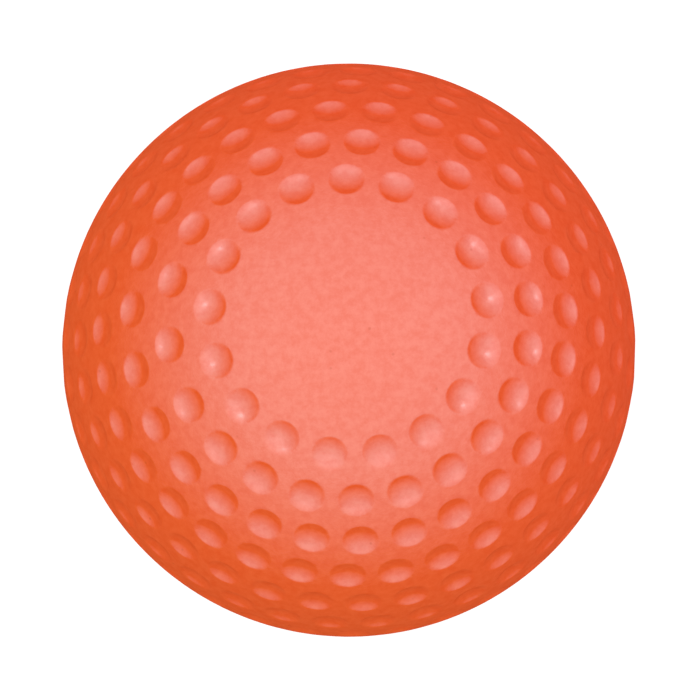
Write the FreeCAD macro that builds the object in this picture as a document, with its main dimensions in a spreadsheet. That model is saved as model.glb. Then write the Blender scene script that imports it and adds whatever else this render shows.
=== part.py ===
import FreeCAD, Part
import os
from math import cos, radians

# A field hockey ball, moulded as one solid: rings of round dimples from a bare patch at one
# pole to a bare patch at the other. Millimetres and degrees. The origin is the middle of the
# ball. +Z is the moulding axis, out through the middle of a bare patch, and directions round
# the ball start at +X and turn towards +Y.

# How many dimples each ring has, from the bare patch to the ring on the parting plane, and
# the direction of the ring's first dimple.
RINGS = {
    "One": {"Count": 17, "Start": 7.0},
    "Two": {"Count": 22, "Start": 7.0},
    "Three": {"Count": 27, "Start": 4.0},
    "Four": {"Count": 32, "Start": 11.0},
    "Five": {"Count": 35, "Start": 5.7},
    "Six": {"Count": 37, "Start": 3.5},
    "Seven": {"Count": 37, "Start": 8.0},
}

# The dimples are the marks of a ball-nosed punch, sunk a set depth below the ball's surface.
# PatchAngle is from the pole to the middles of the first ring's dimples.
SIZES = {
    "BallDiameter": 73.2,
    "NoseRadius": 6.0,
    "DimpleDepth": 0.55,
    "PatchAngle": 29.1,
}

# The first rings aren't spaced evenly: their steps open out about one side of the ball. These
# are the direction of that side, how far the opening reaches each way from it, and by how
# many degrees it lengthens each ring's steps in all.
OPENING = {
    "OpenSide": 185.0,
    "OpenReach": 40.0,
    "OpenedOne": 3.0,
    "OpenedTwo": 13.0,
    "OpenedThree": 9.5,
}

doc = FreeCAD.newDocument("FieldHockeyBall")
sheet = doc.addObject("Spreadsheet::Sheet", "Sizes")


def fill_sheet():
    """Give each size a row of the sheet, with its name as the alias of its cell."""
    named = dict(SIZES)
    named.update(OPENING)
    for ring, values in RINGS.items():
        for name, value in values.items():
            named[name + ring] = value
    for row, (name, value) in enumerate(named.items(), start=1):
        sheet.set(f"A{row}", name)
        sheet.set(f"B{row}", str(value))
        sheet.setAlias(f"B{row}", name)
    doc.recompute()


fill_sheet()

body = doc.addObject("PartDesign::Body", "Ball")
body.Label = "ball"


def origin(role):
    """The body's own origin plane or axis with this role."""
    return next(item for item in body.Origin.OriginFeatures if item.Role == role)


def round_ball():
    """The plain ball before its dimples are cut."""
    plain = body.newObject("PartDesign::AdditiveSphere", "PlainBall")
    plain.AttachmentSupport = [(origin("XY_Plane"), "")]
    plain.MapMode = "FlatFace"
    plain.setExpression("Radius", "Sizes.BallDiameter / 2")


def opening(direction):
    """How much of the opening a step in this direction takes, from 0 to 1."""
    aside = (direction - sheet.OpenSide + 180) % 360 - 180
    if abs(aside) > sheet.OpenReach:
        return 0.0
    return cos(radians(90 * aside / sheet.OpenReach)) ** 2


def steps(ring):
    """The angles from each dimple of a ring to the next, round to the first again."""
    count = getattr(sheet, "Count" + ring)
    start = getattr(sheet, "Start" + ring)
    opened = getattr(sheet, "Opened" + ring, 0)
    if not opened:
        return [360 / count] * count
    shares = [opening(start + 360 / count * (step + 0.5)) for step in range(count)]
    return [(360 - opened) / count + opened * share / sum(shares) for share in shares]


def dimple_ring(level, ring):
    """One ring of dimples and, off the parting plane, its mirror image in the other half."""
    reach = "(Sizes.BallDiameter / 2 + Sizes.NoseRadius - Sizes.DimpleDepth)"
    last_level = len(RINGS) - 1
    polar = f"(Sizes.PatchAngle + (90 - Sizes.PatchAngle) * {level} / {last_level})"
    place = {
        "x": f"{reach} * sin({polar}) * cos(Sizes.Start{ring})",
        "y": f"{reach} * sin({polar}) * sin(Sizes.Start{ring})",
        "z": f"{reach} * cos({polar})",
    }
    dimple = body.newObject("PartDesign::SubtractiveSphere", "Dimple" + ring)
    dimple.AttachmentSupport = [(origin("XY_Plane"), "")]
    dimple.MapMode = "FlatFace"
    dimple.setExpression("Radius", "Sizes.NoseRadius")
    for axis, distance in place.items():
        dimple.setExpression("AttachmentOffset.Base." + axis, distance)

    around = steps(ring)
    turns = body.newObject("PartDesign::PolarPattern", "Turns" + ring)
    turns.Axis = (origin("Z_Axis"), [""])
    turns.Occurrences = len(around)
    turns.setExpression("Occurrences", "Sizes.Count" + ring)
    turns.Mode = "Spacing"
    turns.Spacings = around[:-1]
    if level == last_level:
        turns.Originals = [dimple]
        body.Tip = turns
        return

    across = body.newObject("PartDesign::Mirrored", "Mirror" + ring)
    across.MirrorPlane = (origin("XY_Plane"), [""])
    both = body.newObject("PartDesign::MultiTransform", "Ring" + ring)
    both.Originals = [dimple]
    both.Transformations = [turns, across]
    body.Tip = both


round_ball()
for level, ring in enumerate(RINGS):
    dimple_ring(level, ring)
doc.recompute()

for item in doc.Objects:
    if "Invalid" in item.State or "Error" in item.State:
        raise RuntimeError(f"{item.Name} is {item.State}")
ball = body.Shape
if ball.isNull() or not ball.isValid() or len(ball.Solids) != 1:
    raise RuntimeError("the ball isn't one valid solid")
print(f"ball: {len(ball.Faces)} faces, {ball.Volume:.0f} cubic mm")

os.makedirs("parts", exist_ok=True)
ball.exportStep(f"parts/{body.Label}.step")
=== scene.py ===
from math import cos, pi, radians, sin

import bpy
import numpy as np
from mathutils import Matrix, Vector
from mathutils.geometry import delaunay_2d_cdt


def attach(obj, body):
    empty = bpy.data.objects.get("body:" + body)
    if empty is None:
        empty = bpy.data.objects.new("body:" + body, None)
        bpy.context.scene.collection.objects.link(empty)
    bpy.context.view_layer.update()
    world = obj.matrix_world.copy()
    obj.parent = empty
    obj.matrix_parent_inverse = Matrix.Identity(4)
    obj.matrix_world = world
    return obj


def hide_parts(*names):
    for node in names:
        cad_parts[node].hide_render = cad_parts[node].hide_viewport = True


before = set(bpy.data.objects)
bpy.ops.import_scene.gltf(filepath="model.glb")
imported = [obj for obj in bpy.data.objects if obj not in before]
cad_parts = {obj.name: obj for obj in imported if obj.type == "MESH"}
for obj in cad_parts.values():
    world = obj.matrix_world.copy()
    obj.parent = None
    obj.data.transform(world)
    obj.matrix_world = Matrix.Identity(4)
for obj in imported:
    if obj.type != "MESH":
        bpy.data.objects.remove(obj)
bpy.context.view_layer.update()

# The ball
#
# One solid ball of firm PVC, moulded in one shot. The mould's walls carry rows of round-nosed
# bosses, which leave the dimples, and each end of the moulding axis is bare.

MM = 0.001
# How far apart the points of the land between the dimples are.
LAND_STEP_MM = 1.0
# How far the sharp lip of a dimple is rounded down.
LIP_MM = 0.05
# The circles of points round a dimple's axis: how many points each has, and its size as a
# share of the dimple's rim. They lie closest where the lip turns, and end out on the land.
DIMPLE_CIRCLES = [
    (6, 0.27),
    (12, 0.54),
    (18, 0.76),
    (24, 0.89),
    (28, 0.96),
    (28, 1.02),
    (28, 1.09),
    (24, 1.18),
]


def faces_of(moulding):
    """The points of each face of the moulding, in millimetres: its faces share no points."""
    mesh = moulding.data
    points = np.empty(len(mesh.vertices) * 3)
    mesh.vertices.foreach_get("co", points)
    points = points.reshape(-1, 3) / MM
    ends = np.empty(len(mesh.edges) * 2, int)
    mesh.edges.foreach_get("vertices", ends)
    one, other = ends.reshape(-1, 2).T

    # Each point takes the lowest number among the points that edges join it to.
    face = np.arange(len(points))
    while (face[one] != face[other]).any():
        np.minimum.at(face, one, face[other])
        np.minimum.at(face, other, face[one])
        face = face[face]
    return [points[face == first] for first in np.unique(face)]


def round_through(points):
    """The middle and radius of the sphere that some points lie on."""
    rows = np.column_stack([2 * points, np.ones(len(points))])
    middle_and_rest = np.linalg.lstsq(rows, (points**2).sum(1), rcond=None)[0]
    middle = middle_and_rest[:3]
    return middle, np.sqrt(middle_and_rest[3] + middle @ middle)


# Each face is part of the ball's own sphere or of a boss's, whose middle lies outside the
# ball. The rim is the angle at the ball's middle from a dimple's axis to its lip.
rounds = [round_through(points) for points in faces_of(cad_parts["ball"])]
ball_radius_mm = max(radius for middle, radius in rounds)
bosses = [(middle, radius) for middle, radius in rounds if radius < ball_radius_mm / 2]
boss_middles = np.array([middle for middle, radius in bosses])
boss_radius_mm = np.array([radius for middle, radius in bosses])[:, None]
reach_mm = np.linalg.norm(boss_middles, axis=1, keepdims=True)
axes = boss_middles / reach_mm
rim = np.arccos(
    (reach_mm**2 + ball_radius_mm**2 - boss_radius_mm**2) / (2 * reach_mm * ball_radius_mm)
)


def lower_rounded(height, other, blend):
    """The lower of two heights, with the corner where they cross rounded over."""
    share = np.clip(0.5 + 0.5 * (height - other) / blend, 0, 1)
    return height + (other - height) * share - blend * share * (1 - share)


def dimple_points():
    """The bottom of every dimple, then its circles of points, up the bowl and over the lip."""
    aside = np.cross([0, 0, 1], axes)
    aside /= np.linalg.norm(aside, axis=1, keepdims=True)
    along = np.cross(axes, aside)
    rows = [axes * (reach_mm - boss_radius_mm)]
    for count, share in DIMPLE_CIRCLES:
        out = rim * share
        off_axis = reach_mm * np.sin(out)
        bowl = reach_mm * np.cos(out) - np.sqrt(boss_radius_mm**2 - off_axis**2)
        height = lower_rounded(ball_radius_mm, bowl, LIP_MM)
        for turn in np.arange(count) * (2 * np.pi / count):
            sideways = aside * cos(turn) + along * sin(turn)
            rows.append((axes * np.cos(out) + sideways * np.sin(out)) * height)
    return np.concatenate(rows)


def land_points():
    """A spiral of evenly spread points over the ball, left out where the dimples are."""
    # On a net of equal triangles, each point has this share of its spacing squared.
    net_share = 0.866
    count = round(4 * np.pi * ball_radius_mm**2 / (LAND_STEP_MM**2 * net_share))
    golden_turn = np.pi * (3 - np.sqrt(5))
    turn = golden_turn * np.arange(count)
    height = 1 - (2 * np.arange(count) + 1) / count
    spread = np.sqrt(1 - height**2)
    spiral = np.column_stack([spread * np.cos(turn), spread * np.sin(turn), height])
    widest = rim.max() * DIMPLE_CIRCLES[-1][1] + 0.5 * LAND_STEP_MM / ball_radius_mm
    clear = (spiral @ axes.T).max(1) < cos(widest)
    return spiral[clear] * ball_radius_mm


def skin_over(points):
    """Triangles over points all round the middle, the last of them straight below it."""
    # Seen from the last point, the others spread out over a flat plane with none left over.
    way = points / np.linalg.norm(points, axis=1, keepdims=True)
    flat = way[:-1, :2] / (1 + way[:-1, 2:])
    whole_outline = 0
    same_spot = 1e-9
    found = delaunay_2d_cdt([Vector(spot) for spot in flat], [], [], whole_outline, same_spot)
    faces, sources = found[2], found[3]
    source = [inputs[0] for inputs in sources]
    triangles = [tuple(source[corner] for corner in triangle) for triangle in faces]

    # The last point closes the skin, with a triangle on each outer side of the others.
    sides = {(t[k - 1], t[k]) for t in triangles for k in range(3)}
    last = len(points) - 1
    triangles += [(b, a, last) for a, b in sides if (b, a) not in sides]
    return triangles


lowest = [[0, 0, -ball_radius_mm]]
points = np.concatenate([dimple_points(), land_points(), lowest])
ball_mesh = bpy.data.meshes.new("moulded_ball")
ball_mesh.from_pydata((points * MM).tolist(), [], skin_over(points))
ball_mesh.shade_smooth()
ball = bpy.data.objects.new("moulded_ball", ball_mesh)
bpy.context.collection.objects.link(ball)


def add_node(tree, kind, sockets=None, **settings):
    """Add a node with these settings. A socket given another node's socket is linked to it."""
    node = tree.nodes.new(kind)
    for name, value in settings.items():
        setattr(node, name, value)
    for name, value in (sockets or {}).items():
        if isinstance(value, bpy.types.NodeSocket):
            tree.links.new(value, node.inputs[name])
        else:
            node.inputs[name].default_value = value
    return node


def linear(code):
    """The linear colour of an sRGB hex code."""
    shares = [int(code[k : k + 2], 16) / 255 for k in (0, 2, 4)]
    return [s / 12.92 if s <= 0.04045 else ((s + 0.055) / 1.055) ** 2.4 for s in shares] + [1]


def per_mm(size_mm):
    """The scale that makes a pattern's cells this many millimetres across."""
    return 1 / (size_mm * MM)


# PVC coloured right through in an orange red, moulded against blasted walls. Their fine grain
# spreads the light, so the ball looks soft and pale where it faces you and a deep orange where
# it turns away. The bosses are smoother, so the bowls shine more and catch small glints.

# The colour drifts across the ball, from a yellower orange to a pinker one. These are the
# direction, how far it goes on either side of the middle as a share of the radius, and the two
# ends of the drift in the darker and in the paler clouds of the plastic.
DRIFT_WAY = (0.7, 0.7, 0)
DRIFT_REACH = 0.6
CLOUD_SHADES = [("eb5c2b", "eb562f"), ("ef6534", "ef5e38")]
# The clouds are the marks of the melt's flow, about 1 mm across, and the gloss is weaker in the
# dark ones than in the pale ones.
CLOUD_MM = 1.1
CLOUD_GLOSS = (0.86, 1.12)
# Specks of dust in the plastic, a few millimetres apart: the radius at which a speck begins to
# pale, the radius of its edge, and how much of the ball's own colour shows at its middle.
SPECK_COLOUR = "a8340f"
SPECK_SPACING_MM = 4.5
SPECK_RADII_MM = (0.1, 0.25)
SPECK_CLEARNESS = 0.8
# A blasted grain is under 0.1 mm, too fine to show, so it is drawn 0.35 mm across.
GRAIN_MM = 0.35
GRAIN_DEPTH_MM = 0.022
# The bump steepens the light across the bowls by this share. That brings the third to fifth
# rings near the photo's and is too much for the first two.
BOWL_DEEPENING = 0.25
# The finish at a bowl's bottom and on the land, and how far below the land it stops changing.
FINISH_ENDS = {"grain": (0.25, 1.0), "roughness": (0.29, 0.6), "gloss": (0.88, 0.82)}
FINISH_DEPTH_MM = 0.3
# The pale gloss holds until the surface is turned 25 degrees away and is gone at 57. These are
# 1 less the cosines of those angles, and the power of the curve between them.
GLOSS_TURNS = (0.09, 0.45)
GLOSS_FALL = 1.5
# PVC's own IOR is 1.53. A higher one, and a faint blue in the gloss, are matched to the pale
# veil that the photo's ball has over its bare patch.
PVC_IOR = 1.9
GLOSS_TINT = "f8f8ff"

# A Mix node's sockets share their names, so they are told apart by number.
SHARE, ONE, OTHER, MIXED = 0, 6, 7, 2

pvc = bpy.data.materials.new("grained_moulded_pvc")
pvc.use_nodes = True
tree = pvc.node_tree
tree.nodes.clear()
place = add_node(tree, "ShaderNodeTexCoord").outputs["Object"]
from_middle = add_node(
    tree, "ShaderNodeVectorMath", {0: place}, operation="LENGTH"
).outputs["Value"]

across = add_node(
    tree, "ShaderNodeVectorMath", {0: place, 1: DRIFT_WAY}, operation="DOT_PRODUCT"
).outputs["Value"]
drift_end = DRIFT_REACH * ball_radius_mm * MM
drift = add_node(
    tree, "ShaderNodeMapRange", {"Value": across, "From Min": -drift_end, "From Max": drift_end}
).outputs["Result"]
dark, pale = [
    add_node(
        tree,
        "ShaderNodeMix",
        {SHARE: drift, ONE: linear(yellower), OTHER: linear(pinker)},
        data_type="RGBA",
    ).outputs[MIXED]
    for yellower, pinker in CLOUD_SHADES
]
cloud_noise = add_node(
    tree,
    "ShaderNodeTexNoise",
    {"Vector": place, "Scale": per_mm(CLOUD_MM), "Detail": 5, "Roughness": 0.65},
).outputs["Fac"]
clouds = add_node(
    tree, "ShaderNodeMapRange", {"Value": cloud_noise, "From Min": 0.36, "From Max": 0.64}
).outputs["Result"]
clouded = add_node(
    tree, "ShaderNodeMix", {SHARE: clouds, ONE: dark, OTHER: pale}, data_type="RGBA"
).outputs[MIXED]

from_speck = add_node(
    tree, "ShaderNodeTexVoronoi", {"Vector": place, "Scale": per_mm(SPECK_SPACING_MM)}
).outputs["Distance"]
clean = add_node(
    tree,
    "ShaderNodeMapRange",
    {
        "Value": from_speck,
        "From Min": SPECK_RADII_MM[0] / SPECK_SPACING_MM,
        "From Max": SPECK_RADII_MM[1] / SPECK_SPACING_MM,
        "To Min": SPECK_CLEARNESS,
        "To Max": 1.0,
    },
).outputs["Result"]
colour = add_node(
    tree,
    "ShaderNodeMix",
    {SHARE: clean, ONE: linear(SPECK_COLOUR), OTHER: clouded},
    data_type="RGBA",
).outputs[MIXED]

finish = {}
for name, (bottom, land) in FINISH_ENDS.items():
    finish[name] = add_node(
        tree,
        "ShaderNodeMapRange",
        {
            "Value": from_middle,
            "From Min": (ball_radius_mm - FINISH_DEPTH_MM) * MM,
            "From Max": ball_radius_mm * MM,
            "To Min": bottom,
            "To Max": land,
        },
    ).outputs["Result"]

deepened = add_node(
    tree, "ShaderNodeBump", {"Height": from_middle, "Distance": BOWL_DEEPENING}
).outputs["Normal"]
grain = add_node(
    tree,
    "ShaderNodeTexNoise",
    {"Vector": place, "Scale": per_mm(GRAIN_MM), "Detail": 3, "Roughness": 0.6},
).outputs["Fac"]
grained = add_node(
    tree,
    "ShaderNodeBump",
    {
        "Normal": deepened,
        "Height": grain,
        "Strength": finish["grain"],
        "Distance": GRAIN_DEPTH_MM * MM,
    },
).outputs["Normal"]

turned = add_node(
    tree, "ShaderNodeLayerWeight", {"Blend": 0.5, "Normal": grained}
).outputs["Facing"]
facing = add_node(
    tree,
    "ShaderNodeMapRange",
    {
        "Value": turned,
        "From Min": GLOSS_TURNS[0],
        "From Max": GLOSS_TURNS[1],
        "To Min": 1.0,
        "To Max": 0.0,
    },
).outputs["Result"]
gloss = add_node(
    tree, "ShaderNodeMath", {0: facing, 1: GLOSS_FALL}, operation="POWER"
).outputs[0]
in_clouds = add_node(
    tree,
    "ShaderNodeMapRange",
    {"Value": clouds, "To Min": CLOUD_GLOSS[0], "To Max": CLOUD_GLOSS[1]},
).outputs["Result"]
for share in (clean, finish["gloss"], in_clouds):
    gloss = add_node(
        tree, "ShaderNodeMath", {0: gloss, 1: share}, operation="MULTIPLY"
    ).outputs[0]

surface = add_node(
    tree,
    "ShaderNodeBsdfPrincipled",
    {
        "Base Color": colour,
        "Roughness": finish["roughness"],
        "IOR": PVC_IOR,
        "Specular IOR Level": gloss,
        "Specular Tint": linear(GLOSS_TINT),
        "Normal": grained,
    },
).outputs["BSDF"]
add_node(tree, "ShaderNodeOutputMaterial", {"Surface": surface})
ball_mesh.materials.append(pvc)

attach(ball, "root")
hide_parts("ball")

# The floor
#
# A sheet of matt white card that the ball stands on, wide enough to fill the view from any side.

FLOOR_WIDTH = 6.0
CARD_COLOUR = "ababab"
# What the card shows the camera and reflections besides the light that falls on it. The two
# together are white, but for the ball's shadow.
CARD_GLOW = 0.78

side = FLOOR_WIDTH / 2
foot = -ball_radius_mm * MM
floor_mesh = bpy.data.meshes.new("white_card")
floor_mesh.from_pydata(
    [(-side, -side, foot), (side, -side, foot), (side, side, foot), (-side, side, foot)],
    [],
    [(0, 1, 2, 3)],
)
floor = bpy.data.objects.new("white_card", floor_mesh)
bpy.context.collection.objects.link(floor)


def seen_rays(tree):
    """1 on rays from the camera, also by way of gloss or glass, and 0 on all the others."""
    ray = add_node(tree, "ShaderNodeLightPath")
    seen = ray.outputs["Is Camera Ray"]
    for name in ("Is Glossy Ray", "Is Transmission Ray"):
        seen = add_node(
            tree, "ShaderNodeMath", {0: seen, 1: ray.outputs[name]}, operation="ADD"
        ).outputs[0]
    return seen


# Matt white card, which scatters the light evenly. Its glow isn't sampled as a lamp is, since
# that takes no notice of the kind of ray and would light the ball.
card = bpy.data.materials.new("matt_white_card")
card.use_nodes = True
card.cycles.emission_sampling = "NONE"
tree = card.node_tree
tree.nodes.clear()
matt = add_node(tree, "ShaderNodeBsdfDiffuse", {"Color": linear(CARD_COLOUR)}).outputs["BSDF"]
strength = add_node(
    tree, "ShaderNodeMath", {0: seen_rays(tree), 1: CARD_GLOW}, operation="MULTIPLY"
).outputs[0]
glow = add_node(tree, "ShaderNodeEmission", {"Strength": strength}).outputs["Emission"]
lit_card = add_node(tree, "ShaderNodeAddShader", {0: matt, 1: glow}).outputs["Shader"]
add_node(tree, "ShaderNodeOutputMaterial", {"Surface": lit_card})
floor_mesh.materials.append(card)

# The lights
#
# A large soft box over the ball, two small lamps beside the camera that put the glints in the
# bowls, and a pale room, brighter at its walls than at its top. The camera and reflections
# see the room as plain white, so it isn't sampled as a lamp is either.

# How bright the room is, with lit white paper as 1.
ROOM_WALLS = 1.35
ROOM_TOP = 0.6
# Each lamp's way is its direction from the ball, and its strength is reckoned as the room's is.
SOFT_BOX = {"way": (0, -0.13, 1), "away": 1.0, "width": 1.4, "height": 1.4, "strength": 0.4}
GLINT_LAMP = {"away": 1.0, "width": 0.03, "height": 0.15, "strength": 28.0}
GLINT_WAYS = {"left_glint": (-0.56, 0.03, 0.82), "right_glint": (0.62, 0.09, 0.77)}

world = bpy.data.worlds.new("pale_room")
bpy.context.scene.world = world
world.use_nodes = True
world.cycles.sampling_method = "NONE"
tree = world.node_tree
tree.nodes.clear()
direction = add_node(tree, "ShaderNodeTexCoord").outputs["Generated"]
upward = add_node(tree, "ShaderNodeSeparateXYZ", {0: direction}).outputs["Z"]
light_from_room = add_node(
    tree, "ShaderNodeMapRange", {"Value": upward, "To Min": ROOM_WALLS, "To Max": ROOM_TOP}
).outputs["Result"]
room = add_node(
    tree,
    "ShaderNodeMapRange",
    {"Value": seen_rays(tree), "To Min": light_from_room, "To Max": 1.0},
).outputs["Result"]
backdrop = add_node(
    tree, "ShaderNodeBackground", {"Color": linear("ffffff"), "Strength": room}
).outputs["Background"]
add_node(tree, "ShaderNodeOutputWorld", {"Surface": backdrop})


def hang_lamp(name, way, away, width, height, strength):
    """Hang a lamp that faces the ball, this many times as bright as lit white paper."""
    lamp = bpy.data.lights.new(name, "AREA")
    lamp.shape = "RECTANGLE"
    lamp.size, lamp.size_y = width, height
    lamp.energy = strength * pi * width * height
    hung = bpy.data.objects.new(name, lamp)
    outward = Vector(way).normalized()
    hung.location = outward * away
    hung.rotation_euler = outward.to_track_quat("Z", "Y").to_euler()
    hung.visible_camera = False
    bpy.context.collection.objects.link(hung)


hang_lamp("soft_box", **SOFT_BOX)
for name, way in GLINT_WAYS.items():
    hang_lamp(name, way, **GLINT_LAMP)

# The camera
#
# It looks down almost along the moulding axis, so that the ball's bare patch shows just above
# the middle of the picture. The photograph's long lens from far off leaves no perspective.

PICTURE_PIXELS = 700
BALL_RADIUS_PIXELS = 286.7
# How far the ball's middle is to the right of the picture's, and how far below it.
BALL_RIGHT_PIXELS = -1.17
BALL_DOWN_PIXELS = 0.12
CAMERA_UP_DEGREES = 82.4
CAMERA_AWAY = 1.5

camera_data = bpy.data.cameras.new("camera")
camera_data.type = "ORTHO"
camera_data.ortho_scale = ball_radius_mm * MM * PICTURE_PIXELS / BALL_RADIUS_PIXELS
camera_data.shift_x = -BALL_RIGHT_PIXELS / PICTURE_PIXELS
camera_data.shift_y = BALL_DOWN_PIXELS / PICTURE_PIXELS
camera = bpy.data.objects.new("camera", camera_data)
up = radians(CAMERA_UP_DEGREES)
back = Vector((0, -cos(up), sin(up)))
camera.location = back * CAMERA_AWAY
camera.rotation_euler = back.to_track_quat("Z", "Y").to_euler()
bpy.context.collection.objects.link(camera)
bpy.context.scene.camera = camera
bpy.context.scene.view_settings.view_transform = "Standard"
